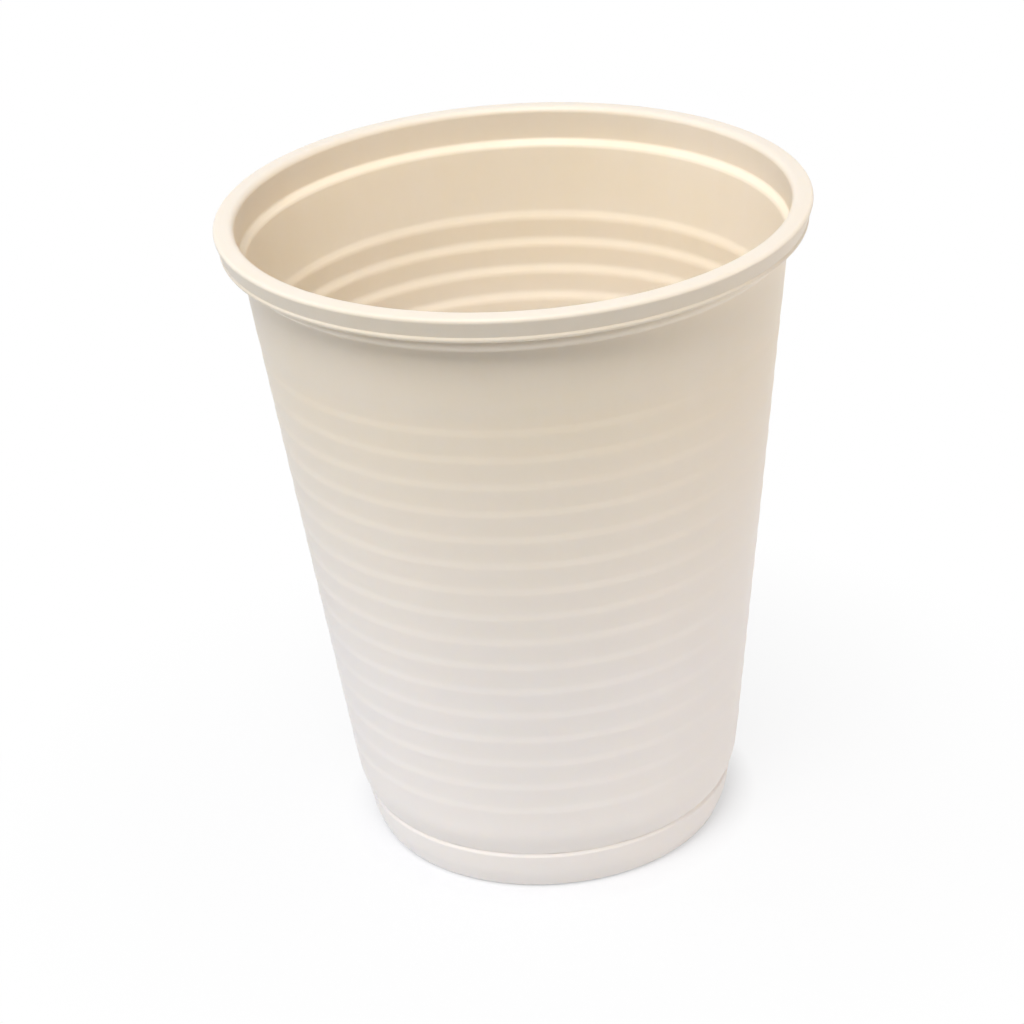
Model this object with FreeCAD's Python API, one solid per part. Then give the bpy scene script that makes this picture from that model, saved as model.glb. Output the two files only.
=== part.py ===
import FreeCAD, Part
import math
import os
from FreeCAD import Vector

# Disposable drinking cup, formed from one thin sheet. Millimetres, +Z up.
# The origin is the centre of the foot, on the surface that the cup stands on.
# Diameters, heights and widths are those of the outside of the cup.

# Overall sizes
height = 81.0
rim_diameter = 70.0
foot_diameter = 42.8
wall_foot_diameter = 47.4
sheet = 0.35

# Base: a panel set up inside the foot, which is a narrow flat ring
foot_width = 2.0
foot_corner = 0.7
panel_recess = 2.2
panel_draft = 0.5

# Heel: the band above the foot flares to its widest under a groove
heel_height = 5.1
heel_flare = 1.65
heel_knee_height = 2.4
heel_knee_inset = 0.5
heel_rounding = 5.0
groove_height = 0.8
groove_depth = 0.3

# Shoulder: over the groove the sheet rounds out into the straight taper of the wall
shoulder_height = 2.0
shoulder_rounding = 8.0

# Ribs: upright bands, each set in from the band above it by a small step
rib_pitch = 3.52
rib_step_height = 0.8
lowest_band_height = 2.0
plain_wall_height = 8.8

# Stacking step: the collar under the rim stands out over the wall
collar_height = 4.2
step_height = 0.7
step_depth = 0.8

# Rim: the sheet turns over the mouth, slopes to a crisp edge, and its outer face leans in to a small lip
rim_height = 3.1
rim_overhang = 2.2
rim_corner = 0.6
rim_slope_width = 1.3
rim_slope_drop = 0.3
rim_slope_rounding = 1.0
rim_edge = 0.25
rim_draft = 0.7
lip_height = 0.5
lip_flare = 0.2
curl_width = 0.7
curl_corner = 0.2

# Levels and radii that follow from the sizes
middle = sheet / 2
foot_radius = foot_diameter / 2
heel_radius = foot_radius + heel_flare
groove_top = heel_height + groove_height
shoulder = groove_top + shoulder_height
wall_foot_radius = wall_foot_diameter / 2
rim_radius = rim_diameter / 2
collar_radius = rim_radius - rim_overhang
wall_top_radius = collar_radius - step_depth
step_top = height - collar_height
wall_top = step_top - step_height
highest_rib_step = wall_top - plain_wall_height


def wall_radius(z):
    """Radius of the plain taper, which runs from the level of the groove to the stacking step."""
    share = (z - groove_top) / (wall_top - groove_top)
    return wall_foot_radius + share * (wall_top_radius - wall_foot_radius)


def base_line():
    """Middle of the sheet from the axis to the outer corner of the foot, as (radius, z, rounding)."""
    foot_inside = foot_radius - foot_width
    return [
        (0.0, panel_recess + middle, 0.0),
        (foot_inside - panel_draft, panel_recess + middle, foot_corner),
        (foot_inside, middle, foot_corner),
        (foot_radius, middle, foot_corner),
    ]


def heel_line():
    """The heel's flare, then the groove and the shoulder over it."""
    heel = heel_radius - middle
    return [
        (heel - heel_knee_inset, heel_knee_height, heel_rounding),
        (heel, heel_height, 0.0),
        (heel - groove_depth, heel_height + groove_height / 2, 0.0),
        (heel, groove_top, 0.0),
        (wall_radius(shoulder) - middle, shoulder, shoulder_rounding),
    ]


def rib_line():
    """The steps between the bands: as many as fit over the shoulder, from the lowest up."""
    room = highest_rib_step - rib_step_height / 2 - shoulder - lowest_band_height
    count = int(room / rib_pitch) + 1
    points = []
    for index in reversed(range(count)):
        z = highest_rib_step - index * rib_pitch
        band_below = wall_radius(z - rib_pitch / 2) - middle
        band_above = wall_radius(z + rib_pitch / 2) - middle
        points.append((band_below, z - rib_step_height / 2, 0.0))
        points.append((band_above, z + rib_step_height / 2, 0.0))
    return points


def rim_line():
    """The stacking step, the collar and the rim, down to the end of its curl."""
    collar = collar_radius - middle
    rim = rim_radius - middle
    rim_top = height - middle
    rim_foot = height - rim_height + middle
    lip = rim - rim_draft + lip_flare
    return [
        (wall_top_radius - middle, wall_top, 0.0),
        (collar, step_top, 0.0),
        (collar, rim_top, rim_corner),
        (rim - rim_slope_width, rim_top, rim_slope_rounding),
        (rim, rim_top - rim_slope_drop, rim_edge),
        (rim - rim_draft, rim_foot + lip_height, 0.0),
        (lip, rim_foot, curl_corner),
        (lip - curl_width, rim_foot, 0.0),
    ]


def direction(start, end):
    """Unit direction from one point of the section to the next."""
    x = end[0] - start[0]
    z = end[1] - start[1]
    length = math.hypot(x, z)
    return x / length, z / length


def beside(line, shift):
    """The line moved to its left: each run stays parallel and each rounding keeps its centre."""
    last = len(line) - 1
    moved = []
    for index, (x, z, rounding) in enumerate(line):
        ax, az = direction(line[max(index - 1, 0)], line[max(index, 1)])
        bx, bz = direction(line[min(index, last - 1)], line[min(index + 1, last)])
        reach = shift / (1.0 + ax * bx + az * bz)
        turn = ax * bz - az * bx
        if rounding:
            rounding = max(rounding - math.copysign(shift, turn * shift), 0.0)
        moved.append((x - (az + bz) * reach, z + (ax + bx) * reach, rounding))
    return moved


def edges_along(line):
    """Straight runs, joined by arcs at the corners that are rounded."""
    edges = []
    start = Vector(line[0][0], 0, line[0][1])
    for before, corner, after in zip(line, line[1:], line[2:]):
        point = Vector(corner[0], 0, corner[1])
        rounding = corner[2]
        if not rounding:
            edges.append(Part.LineSegment(start, point).toShape())
            start = point
            continue
        ax, az = direction(before, corner)
        bx, bz = direction(corner, after)
        half_turn = math.acos(ax * bx + az * bz) / 2
        back = rounding * math.tan(half_turn)
        inward = Vector(bx - ax, 0, bz - az).normalize()
        arc_start = point - Vector(ax, 0, az) * back
        arc_middle = point + inward * (rounding / math.cos(half_turn) - rounding)
        arc_end = point + Vector(bx, 0, bz) * back
        edges.append(Part.LineSegment(start, arc_start).toShape())
        edges.append(Part.Arc(arc_start, arc_middle, arc_end).toShape())
        start = arc_end
    end = Vector(line[-1][0], 0, line[-1][1])
    edges.append(Part.LineSegment(start, end).toShape())
    return edges


def section():
    """The closed outline of the sheet on one side of the axis."""
    line = base_line() + heel_line() + rib_line() + rim_line()
    outside = beside(line, -middle)
    inside = beside(line, middle)
    ends = [Vector(x, 0, z) for x, z, _ in (outside[-1], inside[-1], inside[0], outside[0])]
    curl_end = Part.LineSegment(ends[0], ends[1]).toShape()
    at_axis = Part.LineSegment(ends[2], ends[3]).toShape()
    edges = edges_along(outside) + [curl_end] + edges_along(inside)[::-1] + [at_axis]
    return Part.Face(Part.Wire(edges))


def cup():
    """The whole cup, turned from its section."""
    return section().revolve(Vector(0, 0, 0), Vector(0, 0, 1), 360)


os.makedirs("parts", exist_ok=True)
solid = cup()
print("valid", solid.isValid(), "volume mm3", round(solid.Volume, 1))
solid.exportStep(os.path.join("parts", "cup.step"))
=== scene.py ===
import math

import bmesh
import bpy
from bpy.props import (
    FloatProperty,
    FloatVectorProperty,
    IntProperty,
    PointerProperty,
)
from mathutils import Matrix, Quaternion, Vector, noise


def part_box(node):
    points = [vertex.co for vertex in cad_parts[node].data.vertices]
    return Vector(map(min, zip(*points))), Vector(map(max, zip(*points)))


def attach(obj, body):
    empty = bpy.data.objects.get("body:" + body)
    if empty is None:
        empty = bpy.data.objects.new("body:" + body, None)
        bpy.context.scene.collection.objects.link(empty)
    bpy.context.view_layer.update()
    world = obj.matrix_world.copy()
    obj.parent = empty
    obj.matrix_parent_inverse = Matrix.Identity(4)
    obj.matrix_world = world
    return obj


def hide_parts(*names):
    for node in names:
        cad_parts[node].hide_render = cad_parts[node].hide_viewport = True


bl_info = {
    "name": "Ribbed drinking cup",
    "version": (1, 0, 0),
    "blender": (4, 5, 0),
    "location": "3D View > Sidebar > Cup",
    "description": "A thin ribbed drinking cup built over its packed frame, with a plain studio round it",
    "category": "Add Mesh",
}

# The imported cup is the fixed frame: its box gives the height and the width of the rim.
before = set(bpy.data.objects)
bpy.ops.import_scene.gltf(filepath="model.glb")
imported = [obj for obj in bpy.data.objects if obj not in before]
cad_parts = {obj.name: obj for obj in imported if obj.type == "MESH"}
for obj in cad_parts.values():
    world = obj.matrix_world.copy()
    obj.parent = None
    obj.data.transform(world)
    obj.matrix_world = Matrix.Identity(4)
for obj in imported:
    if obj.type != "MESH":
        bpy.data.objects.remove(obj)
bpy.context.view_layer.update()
CUP_LOW, CUP_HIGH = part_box("cup")

MM = 0.001
ARC_STEP = math.radians(9.0)
LONGEST_RUN = 2.0 * MM
FLOOR_GAP = 0.02 * MM
CLOSE_SHADOW_REACH = 1.3
WIDE_SHADOW_REACH = 3.5
WIDE_SHADOW_SHARE = 0.25


def length(name, description, default):
    """A size in metres that shows in the scene's own units."""
    return FloatProperty(
        name=name,
        description=description,
        default=default,
        min=0.0,
        precision=5,
        subtype="DISTANCE",
        unit="LENGTH",
    )


def colour(name, description, default):
    """A colour without alpha."""
    return FloatVectorProperty(
        name=name,
        description=description,
        default=default,
        size=3,
        min=0.0,
        max=1.0,
        subtype="COLOR",
    )


def place(name, description, default):
    """A point in the row frame."""
    return FloatVectorProperty(
        name=name,
        description=description,
        default=default,
        size=3,
        precision=5,
        subtype="TRANSLATION",
        unit="LENGTH",
    )


def watts(name, description, default):
    """A lamp's power."""
    return FloatProperty(name=name, description=description, default=default, min=0.0, subtype="POWER")


class CupSizes(bpy.types.PropertyGroup):
    """Sizes of the cup, all of them of its outside."""

    height: length("Height", "From the floor to the top of the rim", CUP_HIGH.z)
    rim_radius: length("Rim radius", "Radius of the rim's edge before its rounding", CUP_HIGH.x + 0.08 * MM)
    foot_radius: length("Foot radius", "Outer radius of the foot", 21.4 * MM)
    wall_foot_radius: length("Wall foot radius", "Radius of the wall's plain taper at the groove", 23.7 * MM)
    sheet: length("Sheet", "Thickness of the sheet", 0.35 * MM)
    foot_width: length("Foot width", "Width of the flat ring that the cup stands on", 2.0 * MM)
    foot_corner: length("Foot corner", "Rounding of the foot's corners", 0.7 * MM)
    panel_recess: length("Panel recess", "How far the base panel is set up inside the foot", 2.2 * MM)
    panel_draft: length("Panel draft", "Slope of the step from the foot up to the base panel", 0.5 * MM)
    heel_height: length("Heel height", "Height of the flared band over the foot", 5.1 * MM)
    heel_flare: length("Heel flare", "How far the heel stands out over the foot", 1.65 * MM)
    heel_knee_height: length("Heel knee height", "Height at which the heel turns upright", 2.4 * MM)
    heel_knee_inset: length("Heel knee inset", "How far the knee is set in from the heel's top", 0.5 * MM)
    heel_rounding: length("Heel rounding", "Rounding of the heel's knee", 5.0 * MM)
    groove_height: length("Groove height", "Height of the groove over the heel", 0.8 * MM)
    groove_depth: length("Groove depth", "Depth of the groove over the heel", 0.3 * MM)
    groove_rounding: length("Groove rounding", "Rounding of the groove's edges", 0.3 * MM)
    shoulder_height: length("Shoulder height", "From the groove up to the wall's plain taper", 2.0 * MM)
    shoulder_rounding: length("Shoulder rounding", "Rounding of the wall over the groove", 8.0 * MM)
    rib_pitch: length("Rib pitch", "Height of one upright band with its step", 3.52 * MM)
    rib_step_height: length("Rib step height", "Height of the step between two bands, inside", 1.0 * MM)
    rib_rounding: length("Rib rounding", "Rounding of both corners of a step, inside", 1.8 * MM)
    rib_swell_height: length("Rib swell height", "Height of the softer step on the outside", 2.6 * MM)
    rib_swell_rounding: length("Rib swell rounding", "Rounding of the softer step's corners", 4.4 * MM)
    rib_swell_share: FloatProperty(
        name="Rib swell share",
        description="How strongly the outside follows the bands: 0 is the plain taper, 1 the full steps",
        default=0.62,
        min=0.0,
        max=1.0,
        subtype="FACTOR",
    )
    lowest_band_height: length("Lowest band", "Least height of the band over the shoulder", 2.0 * MM)
    plain_wall_height: length("Plain wall", "Height of the smooth wall under the stacking step", 8.8 * MM)
    collar_height: length("Collar height", "From the rim's top down to the stacking step", 4.2 * MM)
    step_height: length("Stacking step height", "Height of the stacking step", 0.7 * MM)
    step_depth: length("Stacking step depth", "How far the collar stands out over the wall", 0.8 * MM)
    step_rounding: length("Stacking step rounding", "Rounding of the stacking step's corners", 0.7 * MM)
    rim_height: length("Rim height", "Height of the rim's outer face", 3.1 * MM)
    rim_overhang: length("Rim overhang", "How far the rim stands out over the collar", 2.2 * MM)
    rim_corner: length("Rim corner", "Rounding of the rim's inner corner", 0.6 * MM)
    rim_slope_width: length("Rim slope width", "Width of the slope on the rim's top", 1.3 * MM)
    rim_slope_drop: length("Rim slope drop", "How far the rim's top slopes down to its edge", 0.1 * MM)
    rim_slope_rounding: length("Rim slope rounding", "Rounding between the flat top and the slope", 1.0 * MM)
    rim_edge: length("Rim edge", "Rounding of the rim's outer edge", 0.25 * MM)
    rim_draft: length("Rim draft", "How far the rim's outer face leans in on its way down", 0.7 * MM)
    lip_height: length("Lip height", "Height of the small lip at the foot of the rim", 0.5 * MM)
    lip_flare: length("Lip flare", "How far the lip turns out", 0.2 * MM)
    lip_rounding: length("Lip rounding", "Rounding between the rim's face and the lip", 0.3 * MM)
    curl_width: length("Curl width", "How far the rim's lower edge turns in", 0.7 * MM)
    curl_corner: length("Curl corner", "Rounding of the rim's lower edge", 0.2 * MM)
    unevenness: length("Unevenness", "How far the formed wall strays from a true circle", 0.05 * MM)
    turns: IntProperty(
        name="Faces round",
        description="Faces round the cup",
        default=192,
        min=24,
        max=360,
    )


class CupFinish(bpy.types.PropertyGroup):
    """Colours and surface of the plastic."""

    ivory: colour("Ivory", "Main colour of the plastic", (0.935, 0.82, 0.66))
    ivory_thin: colour("Thin ivory", "Colour of the cloudy spots where the sheet is thinner", (0.945, 0.835, 0.695))
    # Painted bounce light: this paler colour low on the wall is painted light thrown up from the floor, not a
    # colour of the plastic.
    bounce_light_ivory: colour("Low ivory", "Colour low on the wall, where the sheet thins", (0.95, 0.895, 0.84))
    bounce_paint_top: length("Paling top", "Height at which the wall starts to get paler on its way down", 64.0 * MM)
    bounce_paint_foot: length("Paling foot", "Height from which the wall is palest", 28.0 * MM)
    # Painted highlight: the very top of the rim is painted paler to stand in for the soft white sheen of light from
    # above.
    rim_highlight_paint: FloatProperty(
        name="Rim paling",
        description="How pale the very top of the rim is, where the edge is worked",
        default=0.4,
        min=0.0,
        max=1.0,
        subtype="FACTOR",
    )
    roughness: FloatProperty(
        name="Roughness",
        description="Middle value of the surface's roughness",
        default=0.42,
        min=0.0,
        max=1.0,
        subtype="FACTOR",
    )
    glow: FloatProperty(
        name="Glow",
        description="Share of the light that travels through the thin sheet",
        default=0.35,
        min=0.0,
        max=1.0,
        subtype="FACTOR",
    )
    glow_depth: length("Glow depth", "How far light travels inside the plastic", 0.7 * MM)


class StudioSettings(bpy.types.PropertyGroup):
    """Camera, lamps and floor round the cup."""

    camera_place: place("Camera place", "Where the camera stands", (0.0, -0.32668, 0.20487))
    camera_target: place("Camera target", "The point that the camera looks at", (-0.0025, 0.0, 0.0405))
    camera_roll: FloatProperty(
        name="Camera roll",
        description="Turn of the camera about its own line of sight",
        default=math.radians(-3.95),
        subtype="ANGLE",
        unit="ROTATION",
    )
    camera_lens: FloatProperty(
        name="Camera lens",
        description="Focal length in millimetres on a 36 mm sensor",
        default=105.0,
        min=20.0,
        max=300.0,
        subtype="DISTANCE_CAMERA",
    )
    key_place: place("Key place", "Where the main lamp hangs, high in front of the cup", (-0.28, -0.80, 1.64))
    key_size: length("Key size", "Side of the main lamp", 0.8)
    key_power: watts("Key power", "Power of the main lamp", 33.0)
    key_colour: colour("Key colour", "Colour of the main lamp, nearly neutral", (1.0, 0.97, 0.95))
    left_place: place("Left place", "Where the lamp at the left stands", (-0.7, 0.15, 0.35))
    left_power: watts("Left power", "Power of the lamp at the left", 1.8)
    left_colour: colour("Left colour", "Colour of the lamp at the left, slightly cool", (0.86, 0.90, 1.0))
    right_place: place("Right place", "Where the lamp at the right stands, low beside the cup", (0.7, -0.02, 0.2))
    right_power: watts("Right power", "Power of the lamp at the right", 2.1)
    right_colour: colour("Right colour", "Colour of the lamp at the right, slightly warm", (1.0, 0.90, 0.84))
    side_size: length("Side size", "Side of the lamps at the left and the right", 0.5)
    ambient: FloatProperty(
        name="Ambient",
        description="Strength of the even light from all round",
        default=0.03,
        min=0.0,
        max=1.0,
    )
    ambient_colour: colour("Ambient colour", "Colour of the even light", (0.85, 0.92, 1.0))
    floor_colour: colour("Floor colour", "Colour of the floor in the light it throws back", (0.74, 0.755, 0.785))
    floor_radius: length("Floor radius", "Radius of the round floor", 0.36)
    shadow_share: FloatProperty(
        name="Shadow share",
        description="How much of the shading shows on the floor next to the cup",
        default=0.5,
        min=0.0,
        max=1.0,
        subtype="FACTOR",
    )


def wall_radius(sizes, z):
    """Radius of the plain taper at a height, which runs from the level of the groove to the stacking step."""
    groove_top = sizes.heel_height + sizes.groove_height
    wall_top = sizes.height - sizes.collar_height - sizes.step_height
    top_radius = sizes.rim_radius - sizes.rim_overhang - sizes.step_depth
    share = (z - groove_top) / (wall_top - groove_top)
    return sizes.wall_foot_radius + share * (top_radius - sizes.wall_foot_radius)


def base_line(sizes):
    """Middle of the sheet from the axis to the outer corner of the foot, as (radius, z, rounding)."""
    middle = sizes.sheet / 2
    foot_inside = sizes.foot_radius - sizes.foot_width
    return [
        (0.0, sizes.panel_recess + middle, 0.0),
        (foot_inside - sizes.panel_draft, sizes.panel_recess + middle, sizes.foot_corner),
        (foot_inside, middle, sizes.foot_corner),
        (sizes.foot_radius, middle, sizes.foot_corner),
    ]


def heel_line(sizes):
    """The heel's flare, then the groove and the shoulder over it."""
    middle = sizes.sheet / 2
    heel = sizes.foot_radius + sizes.heel_flare - middle
    soft = sizes.groove_rounding
    groove_top = sizes.heel_height + sizes.groove_height
    shoulder = groove_top + sizes.shoulder_height
    return [
        (heel - sizes.heel_knee_inset, sizes.heel_knee_height, sizes.heel_rounding),
        (heel, sizes.heel_height, soft),
        (heel - sizes.groove_depth, sizes.heel_height + sizes.groove_height / 2, soft),
        (heel, groove_top, soft),
        (wall_radius(sizes, shoulder) - middle, shoulder, sizes.shoulder_rounding),
    ]


def rib_line(sizes, step_height, rounding, share):
    """Bands with a step between each two: as many steps as fit over the shoulder, from the lowest up."""
    middle = sizes.sheet / 2
    shoulder = sizes.heel_height + sizes.groove_height + sizes.shoulder_height
    highest = sizes.height - sizes.collar_height - sizes.step_height - sizes.plain_wall_height
    room = highest - sizes.rib_step_height / 2 - shoulder - sizes.lowest_band_height
    points = []
    for index in reversed(range(int(room / sizes.rib_pitch) + 1)):
        z = highest - index * sizes.rib_pitch
        for side in (-1, 1):
            level = z + side * step_height / 2
            plain = wall_radius(sizes, level)
            band = wall_radius(sizes, z + side * sizes.rib_pitch / 2)
            points.append((plain + share * (band - plain) - middle, level, rounding))
    return points


def rim_line(sizes):
    """The stacking step, the collar and the rim, down to the end of its curl."""
    middle = sizes.sheet / 2
    collar = sizes.rim_radius - sizes.rim_overhang - middle
    rim = sizes.rim_radius - middle
    step_top = sizes.height - sizes.collar_height
    rim_top = sizes.height - middle
    rim_foot = sizes.height - sizes.rim_height + middle
    lip = rim - sizes.rim_draft + sizes.lip_flare
    return [
        (collar - sizes.step_depth, step_top - sizes.step_height, sizes.step_rounding),
        (collar, step_top, sizes.step_rounding),
        (collar, rim_top, sizes.rim_corner),
        (rim - sizes.rim_slope_width, rim_top, sizes.rim_slope_rounding),
        (rim, rim_top - sizes.rim_slope_drop, sizes.rim_edge),
        (rim - sizes.rim_draft, rim_foot + sizes.lip_height, sizes.lip_rounding),
        (lip, rim_foot, sizes.curl_corner),
        (lip - sizes.curl_width, rim_foot, 0.0),
    ]


def direction(start, end):
    """Unit direction from one point of the section to the next."""
    run = Vector((end[0] - start[0], end[1] - start[1]))
    return run.normalized()


def beside(line, shift):
    """The line moved to its left: each run stays parallel and each rounding keeps its centre."""
    last = len(line) - 1
    moved = []
    for index, (x, z, rounding) in enumerate(line):
        before = direction(line[max(index - 1, 0)], line[max(index, 1)])
        after = direction(line[min(index, last - 1)], line[min(index + 1, last)])
        reach = shift / (1.0 + before.dot(after))
        turn = before.x * after.y - before.y * after.x
        if rounding:
            rounding = max(rounding - math.copysign(shift, turn * shift), 0.0)
        moved.append((x - (before.y + after.y) * reach, z + (before.x + after.x) * reach, rounding))
    return moved


def points_along(line, arc_step, longest_run):
    """The line's points, with arcs at its rounded corners and long runs divided evenly."""
    points = [Vector(line[0][:2])]

    def run_to(end):
        start = points[-1]
        parts = max(1, math.ceil((end - start).length / longest_run))
        points.extend(start.lerp(end, part / parts) for part in range(1, parts + 1))

    for before, corner, after in zip(line, line[1:], line[2:]):
        point, rounding = Vector(corner[:2]), corner[2]
        if not rounding:
            run_to(point)
            continue
        way_in, way_out = direction(before, corner), direction(corner, after)
        turn = way_in.angle_signed(way_out)
        back = rounding * math.tan(abs(turn) / 2)
        arc_start = point - way_in * back
        side = Vector((way_in.y, -way_in.x)) * math.copysign(1.0, turn)
        centre = arc_start + side * rounding
        run_to(arc_start)
        steps = max(2, math.ceil(abs(turn) / arc_step))
        for step in range(1, steps + 1):
            angle = -turn * step / steps
            arm = arc_start - centre
            arm.rotate(Matrix.Rotation(angle, 2))
            points.append(centre + arm)
    run_to(Vector(line[-1][:2]))
    return points


def stray(sizes, angle, z):
    """How far the wall is off its true circle here: nothing in the foot, the collar and the rim."""
    wall_top = sizes.height - sizes.collar_height - sizes.step_height
    freedom = math.sin(math.pi * min(max(z / wall_top, 0.0), 1.0))
    spot = Vector((math.cos(angle) * 1.3, math.sin(angle) * 1.3, z * 28.0))
    return sizes.unevenness * freedom * noise.noise(spot)


def turned(name, sizes, outline):
    """A closed mesh turned round the axis from an outline that starts and ends on the axis."""
    shape = bmesh.new()
    rings = []
    angles = [2 * math.pi * turn / sizes.turns for turn in range(sizes.turns)]
    for point in outline:
        if point.x < 1e-7:
            rings.append([shape.verts.new((0.0, 0.0, point.y))])
            continue
        ring = []
        for angle in angles:
            radius = point.x + stray(sizes, angle, point.y)
            ring.append(shape.verts.new((radius * math.cos(angle), radius * math.sin(angle), point.y)))
        rings.append(ring)
    for first, second in zip(rings, rings[1:]):
        for index in range(sizes.turns):
            after = (index + 1) % sizes.turns
            if len(first) == 1:
                corners = (first[0], second[after], second[index])
            elif len(second) == 1:
                corners = (first[index], first[after], second[0])
            else:
                corners = (first[index], first[after], second[after], second[index])
            shape.faces.new(corners)
    bmesh.ops.recalc_face_normals(shape, faces=shape.faces)
    for face in shape.faces:
        face.smooth = True
    mesh = bpy.data.meshes.new(name)
    shape.to_mesh(mesh)
    shape.free()
    return mesh


def cup_outline(sizes):
    """The sheet's outline on one side of the axis: along the outside, round the curl and back along the inside."""
    outer_ribs = rib_line(sizes, sizes.rib_swell_height, sizes.rib_swell_rounding, sizes.rib_swell_share)
    inner_ribs = rib_line(sizes, sizes.rib_step_height, sizes.rib_rounding, 1.0)
    faces = []
    for ribs, shift in ((outer_ribs, -sizes.sheet / 2), (inner_ribs, sizes.sheet / 2)):
        line = base_line(sizes) + heel_line(sizes) + ribs + rim_line(sizes)
        faces.append(points_along(beside(line, shift), ARC_STEP, LONGEST_RUN))
    outside, inside = faces
    return outside + inside[::-1]


class Nodes:
    """A material's node tree, with short ways to add a node and join it up."""

    def __init__(self, name):
        self.material = bpy.data.materials.new(name)
        self.material.use_nodes = True
        self.tree = self.material.node_tree
        self.tree.nodes.clear()
        self.output = self.add("ShaderNodeOutputMaterial")

    def add(self, kind, inputs=None, **settings):
        """A new node. Inputs are plain values or the outputs of other nodes."""
        node = self.tree.nodes.new(kind)
        for key, value in settings.items():
            setattr(node, key, value)
        for key, value in (inputs or {}).items():
            if isinstance(value, bpy.types.NodeSocket):
                self.tree.links.new(value, node.inputs[key])
            else:
                node.inputs[key].default_value = value
        return node

    def math(self, operation, *values):
        """The result of one step of arithmetic."""
        node = self.add("ShaderNodeMath", dict(enumerate(values)), operation=operation)
        return node.outputs[0]

    def noise(self, vector, scale, detail, roughness=0.5):
        """Soft noise between 0 and 1."""
        inputs = {"Vector": vector, "Scale": scale, "Detail": detail, "Roughness": roughness}
        return self.add("ShaderNodeTexNoise", inputs).outputs["Fac"]

    def between(self, value, low, high, new_low, new_high):
        """The value carried from one range to another, and held there."""
        inputs = {
            "Value": value,
            "From Min": low,
            "From Max": high,
            "To Min": new_low,
            "To Max": new_high,
        }
        return self.add("ShaderNodeMapRange", inputs).outputs["Result"]


def formed_plastic(finish, sizes):
    """Semi-matt ivory plastic: cloudy and paler where forming thinned it, with faint streaks and a fine peel;
    painted paler low on the wall as painted bounce light from the floor, with a painted highlight along the very
    top of the rim.
    """
    nodes = Nodes("FormedPlastic")
    spot = nodes.add("ShaderNodeTexCoord").outputs["Object"]
    axes = nodes.add("ShaderNodeSeparateXYZ", {"Vector": spot})
    angle = nodes.math("ARCTAN2", axes.outputs["Y"], axes.outputs["X"])
    round_x = nodes.math("COSINE", angle)
    round_y = nodes.math("SINE", angle)
    up = nodes.math("MULTIPLY", axes.outputs["Z"], 5.0)
    drawn = nodes.add("ShaderNodeCombineXYZ", {"X": round_x, "Y": round_y, "Z": up}).outputs["Vector"]

    clouds = nodes.noise(spot, 75.0, 3.0, 0.55)
    streaks = nodes.noise(drawn, 9.0, 4.0, 0.6)
    grain = nodes.noise(spot, 1600.0, 2.0, 0.5)
    both = nodes.math("MULTIPLY_ADD", streaks, 0.4, nodes.math("MULTIPLY", clouds, 0.6))
    thinned = nodes.between(both, 0.36, 0.64, 0.0, 1.0)
    speckled = nodes.math("MULTIPLY_ADD", nodes.math("SUBTRACT", grain, 0.5), 0.5, thinned)
    tint = nodes.add("ShaderNodeMix", data_type="RGBA", clamp_factor=True)
    nodes.tree.links.new(speckled, tint.inputs["Factor"])
    tint.inputs["A"].default_value = (*finish.ivory, 1.0)
    tint.inputs["B"].default_value = (*finish.ivory_thin, 1.0)

    # Painted bounce light: the wall is painted paler towards the bottom, where light thrown up from the floor
    # brightens it.
    unevenly = nodes.math("MULTIPLY_ADD", nodes.math("SUBTRACT", both, 0.5), 0.01, axes.outputs["Z"])
    low = nodes.between(unevenly, finish.bounce_paint_foot, finish.bounce_paint_top, 1.0, 0.0)
    # Painted highlight: the top of the rim is painted paler where light from above gives it a white sheen.
    rim_highlight_foot = sizes.height - sizes.rim_corner
    edge = nodes.between(axes.outputs["Z"], rim_highlight_foot, sizes.height, 0.0, finish.rim_highlight_paint)
    painted_light_mix = nodes.add("ShaderNodeMix", data_type="RGBA", clamp_factor=True)
    nodes.tree.links.new(nodes.math("MAXIMUM", low, edge), painted_light_mix.inputs["Factor"])
    nodes.tree.links.new(tint.outputs["Result"], painted_light_mix.inputs["A"])
    painted_light_mix.inputs["B"].default_value = (*finish.bounce_light_ivory, 1.0)

    gloss = nodes.between(both, 0.3, 0.7, finish.roughness - 0.05, finish.roughness + 0.05)
    peel = nodes.noise(spot, 620.0, 2.0, 0.5)
    fine = nodes.add("ShaderNodeBump", {"Strength": 0.12, "Distance": 0.00003, "Height": peel})
    ripple = nodes.noise(drawn, 4.0, 2.0, 0.5)
    bump = nodes.add(
        "ShaderNodeBump",
        {"Strength": 0.2, "Distance": 0.0002, "Height": ripple, "Normal": fine.outputs["Normal"]},
    )

    plastic = nodes.add(
        "ShaderNodeBsdfPrincipled",
        {
            "Base Color": painted_light_mix.outputs["Result"],
            "Roughness": gloss,
            "IOR": 1.46,
            "Specular IOR Level": 0.35,
            "Subsurface Weight": finish.glow,
            "Subsurface Radius": (1.0, 0.85, 0.65),
            "Subsurface Scale": finish.glow_depth,
            "Normal": bump.outputs["Normal"],
        },
    )
    nodes.tree.links.new(plastic.outputs["BSDF"], nodes.output.inputs["Surface"])
    return nodes.material


def seen_directly(nodes):
    """1 for rays from the camera, from a reflection or through something clear, 0 for the light on the object."""
    path = nodes.add("ShaderNodeLightPath")
    glossy = nodes.math("MAXIMUM", path.outputs["Is Camera Ray"], path.outputs["Is Glossy Ray"])
    return nodes.math("MAXIMUM", glossy, path.outputs["Is Transmission Ray"])


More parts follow.
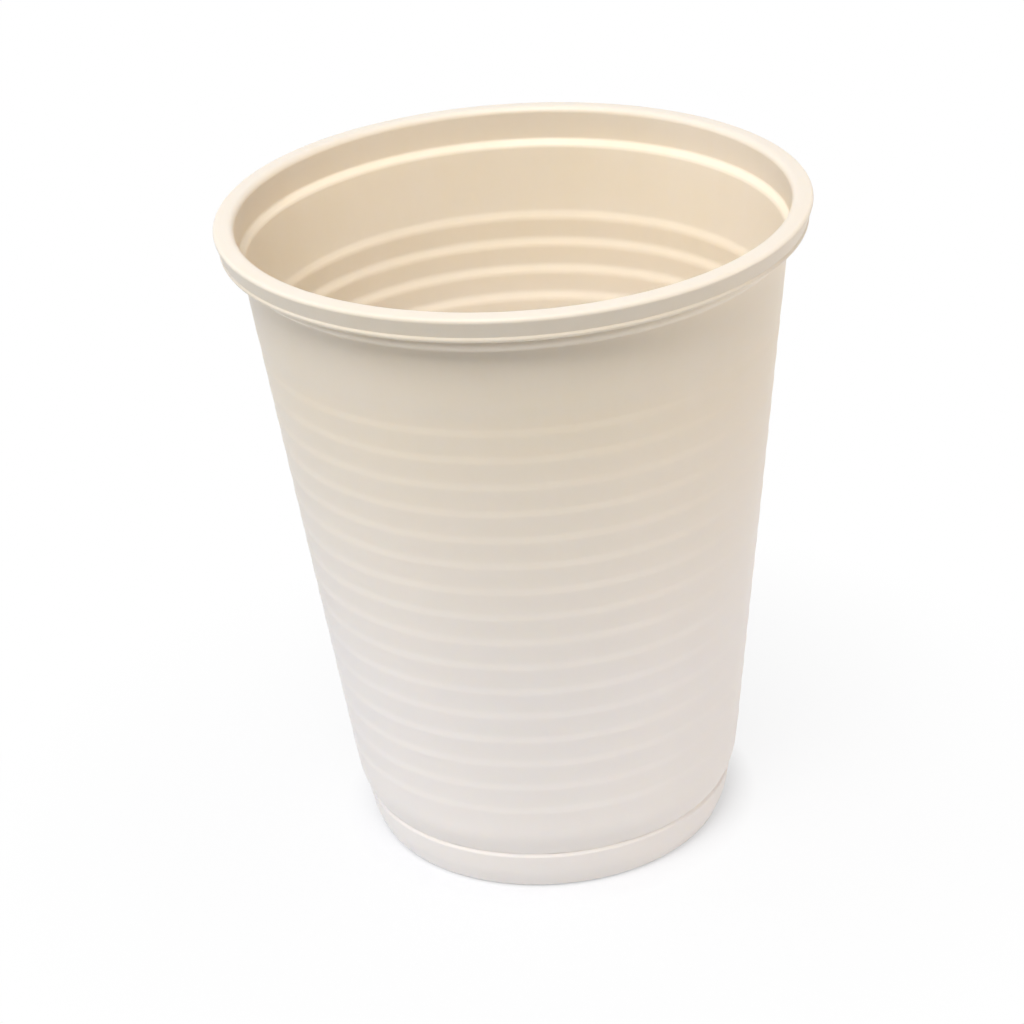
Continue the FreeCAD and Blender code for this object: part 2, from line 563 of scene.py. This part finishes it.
def white_floor(studio):
    """A plain floor: white to the camera, with the cup's soft shadow where it stands."""
    nodes = Nodes("WhiteFloor")
    spot = nodes.add("ShaderNodeTexCoord").outputs["Object"]
    away = nodes.add("ShaderNodeVectorMath", {0: spot}, operation="LENGTH").outputs["Value"]
    foot = bpy.context.scene.cup_sizes.foot_radius
    close = nodes.between(away, foot, foot * CLOSE_SHADOW_REACH, studio.shadow_share, 0.0)
    faint = studio.shadow_share * WIDE_SHADOW_SHARE
    wide = nodes.between(away, foot, foot * WIDE_SHADOW_REACH, faint, 0.0)
    shading = nodes.math("MAXIMUM", close, wide)
    matt = nodes.add("ShaderNodeBsdfDiffuse", {"Color": (*studio.floor_colour, 1.0)})
    white = nodes.add("ShaderNodeEmission", {"Color": (1.0, 1.0, 1.0, 1.0), "Strength": 1.0})
    plain = nodes.math("MULTIPLY", seen_directly(nodes), nodes.math("SUBTRACT", 1.0, shading))
    mix = nodes.add("ShaderNodeMixShader", {"Fac": plain, 1: matt.outputs[0], 2: white.outputs[0]})
    nodes.tree.links.new(mix.outputs[0], nodes.output.inputs["Surface"])
    return nodes.material


def build_world(studio):
    """Even light from all round, white where it is seen."""
    world = bpy.data.worlds.new("Studio")
    world.use_nodes = True
    tree = world.node_tree
    background = tree.nodes["Background"]
    tint = tree.nodes.new("ShaderNodeMix")
    tint.data_type = "RGBA"
    tint.inputs["A"].default_value = (*studio.ambient_colour, 1.0)
    tint.inputs["B"].default_value = (1.0, 1.0, 1.0, 1.0)
    path = tree.nodes.new("ShaderNodeLightPath")
    seen = None
    for name in ("Is Camera Ray", "Is Glossy Ray", "Is Transmission Ray"):
        if seen is None:
            seen = path.outputs[name]
            continue
        most = tree.nodes.new("ShaderNodeMath")
        most.operation = "MAXIMUM"
        tree.links.new(seen, most.inputs[0])
        tree.links.new(path.outputs[name], most.inputs[1])
        seen = most.outputs[0]
    strength = tree.nodes.new("ShaderNodeMapRange")
    tree.links.new(seen, strength.inputs["Value"])
    strength.inputs["To Min"].default_value = studio.ambient
    strength.inputs["To Max"].default_value = 1.0
    tree.links.new(seen, tint.inputs["Factor"])
    tree.links.new(tint.outputs["Result"], background.inputs["Color"])
    tree.links.new(strength.outputs["Result"], background.inputs["Strength"])
    bpy.context.scene.world = world


def add_object(name, data):
    """A new object in the scene at the origin."""
    thing = bpy.data.objects.new(name, data)
    bpy.context.scene.collection.objects.link(thing)
    return thing


def aim(thing, target, roll=0.0):
    """Turns a lamp or a camera towards a point."""
    sight = (Vector(target) - thing.location).normalized()
    thing.rotation_mode = "QUATERNION"
    thing.rotation_quaternion = sight.to_track_quat("-Z", "Y") @ Quaternion((0.0, 0.0, 1.0), roll)


def add_softbox(name, location, size, power, tint, target):
    """A square lamp that the camera doesn't see."""
    lamp = bpy.data.lights.new(name, "AREA")
    lamp.shape = "SQUARE"
    lamp.size = size
    lamp.energy = power
    lamp.color = tint
    box = add_object(name, lamp)
    box.location = location
    box.visible_camera = False
    aim(box, target)


def add_camera(studio):
    """The camera at the photograph's angle to the cup."""
    camera = add_object("Camera", bpy.data.cameras.new("Camera"))
    camera.data.lens = studio.camera_lens
    camera.data.sensor_width = 36.0
    camera.location = studio.camera_place
    aim(camera, studio.camera_target, studio.camera_roll)
    bpy.context.scene.camera = camera


def add_floor(studio):
    """A wide round floor just under the foot."""
    shape = bmesh.new()
    bmesh.ops.create_circle(shape, cap_ends=True, segments=96, radius=studio.floor_radius)
    mesh = bpy.data.meshes.new("Floor")
    shape.to_mesh(mesh)
    shape.free()
    floor = add_object("Floor", mesh)
    floor.location.z = -FLOOR_GAP
    mesh.materials.append(white_floor(studio))


class CUP_OT_shell(bpy.types.Operator):
    """Build the cup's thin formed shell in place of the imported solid"""

    bl_idname = "cup.shell"
    bl_label = "Build cup shell"
    bl_options = {"REGISTER", "UNDO"}

    def execute(self, context):
        sizes = context.scene.cup_sizes
        mesh = turned("cup_shell", sizes, cup_outline(sizes))
        if not mesh.polygons:
            raise RuntimeError("the cup's outline gave no faces")
        mesh.materials.append(formed_plastic(context.scene.cup_finish, sizes))
        shell = add_object("cup_shell", mesh)
        even = shell.modifiers.new("EvenShading", "WEIGHTED_NORMAL")
        even.mode = "FACE_AREA"
        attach(shell, "root")
        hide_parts("cup")
        return {"FINISHED"}


class CUP_OT_studio(bpy.types.Operator):
    """Set up the floor, the lamps, the even light and the camera"""

    bl_idname = "cup.studio"
    bl_label = "Set up studio"
    bl_options = {"REGISTER", "UNDO"}

    def execute(self, context):
        studio = context.scene.cup_studio
        middle = (0.0, 0.0, context.scene.cup_sizes.height / 2)
        add_floor(studio)
        add_softbox("Key", studio.key_place, studio.key_size, studio.key_power, studio.key_colour, middle)
        add_softbox("Left", studio.left_place, studio.side_size, studio.left_power, studio.left_colour, middle)
        add_softbox("Right", studio.right_place, studio.side_size, studio.right_power, studio.right_colour, middle)
        build_world(studio)
        add_camera(studio)
        return {"FINISHED"}


class VIEW3D_PT_cup(bpy.types.Panel):
    """Sizes, finish and studio of the cup"""

    bl_idname = "VIEW3D_PT_cup"
    bl_label = "Ribbed drinking cup"
    bl_space_type = "VIEW_3D"
    bl_region_type = "UI"
    bl_category = "Cup"

    def draw(self, context):
        scene = context.scene
        for operator, group in (
            (CUP_OT_shell, scene.cup_sizes),
            (None, scene.cup_finish),
            (CUP_OT_studio, scene.cup_studio),
        ):
            box = self.layout.box()
            for name in group.__annotations__:
                box.prop(group, name)
            if operator:
                box.operator(operator.bl_idname)


CLASSES = (CupSizes, CupFinish, StudioSettings, CUP_OT_shell, CUP_OT_studio, VIEW3D_PT_cup)


def register():
    """Adds the classes and the scene's settings."""
    for item in CLASSES:
        bpy.utils.register_class(item)
    bpy.types.Scene.cup_sizes = PointerProperty(type=CupSizes)
    bpy.types.Scene.cup_finish = PointerProperty(type=CupFinish)
    bpy.types.Scene.cup_studio = PointerProperty(type=StudioSettings)


def unregister():
    """Takes them away again."""
    del bpy.types.Scene.cup_studio
    del bpy.types.Scene.cup_finish
    del bpy.types.Scene.cup_sizes
    for item in reversed(CLASSES):
        bpy.utils.unregister_class(item)


def main():
    """Builds the cup and its studio."""
    register()
    bpy.context.scene.view_settings.view_transform = "Standard"
    bpy.ops.cup.shell()
    bpy.ops.cup.studio()


if __name__ == "__main__":
    main()
